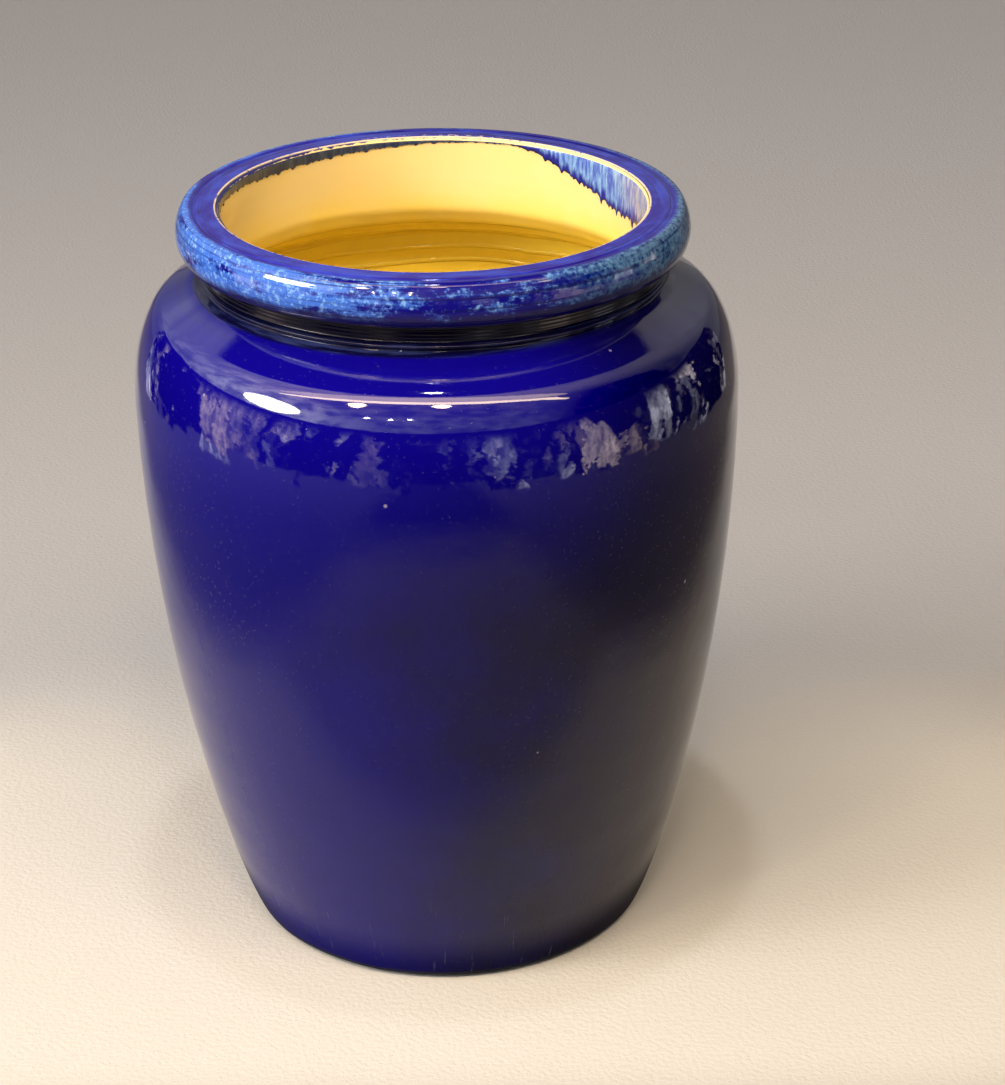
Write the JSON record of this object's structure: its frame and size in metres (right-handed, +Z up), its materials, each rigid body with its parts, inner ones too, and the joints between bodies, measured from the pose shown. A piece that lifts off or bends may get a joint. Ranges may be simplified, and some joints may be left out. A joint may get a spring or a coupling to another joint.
{
  "type": "stoneware jar",
  "caption": "Wide-mouthed stoneware jar with a rolled rim, short neck and round shoulder, glossy deep blue outside, cream inside.",
  "frame": {"origin": "middle of the foot, on the surface the jar stands on", "axes": "+Z up the jar's axis through the mouth, +X to the right and +Y away from the viewer who sees the deep part of the blue run on the right"},
  "size_m": [0.1602, 0.1602, 0.2032],
  "materials": {
    "clay": "bare fired stoneware, matt and slightly sandy",
    "blue_glaze": "glossy deep cobalt glaze, paler and mottled where it thins over the rim",
    "cream_glaze": "glossy cream yellow glaze, honey coloured where it lies thick",
    "run_glaze": "glossy streaked pale blue over the cream, navy along its lower edge"
  },
  "bodies": {
    "root": {"stoneware_body": "clay", "blue_glaze_coat": "blue_glaze", "cream_glaze_lining": "cream_glaze", "blue_mouth_run": "run_glaze"}
  },
  "joints": []
}
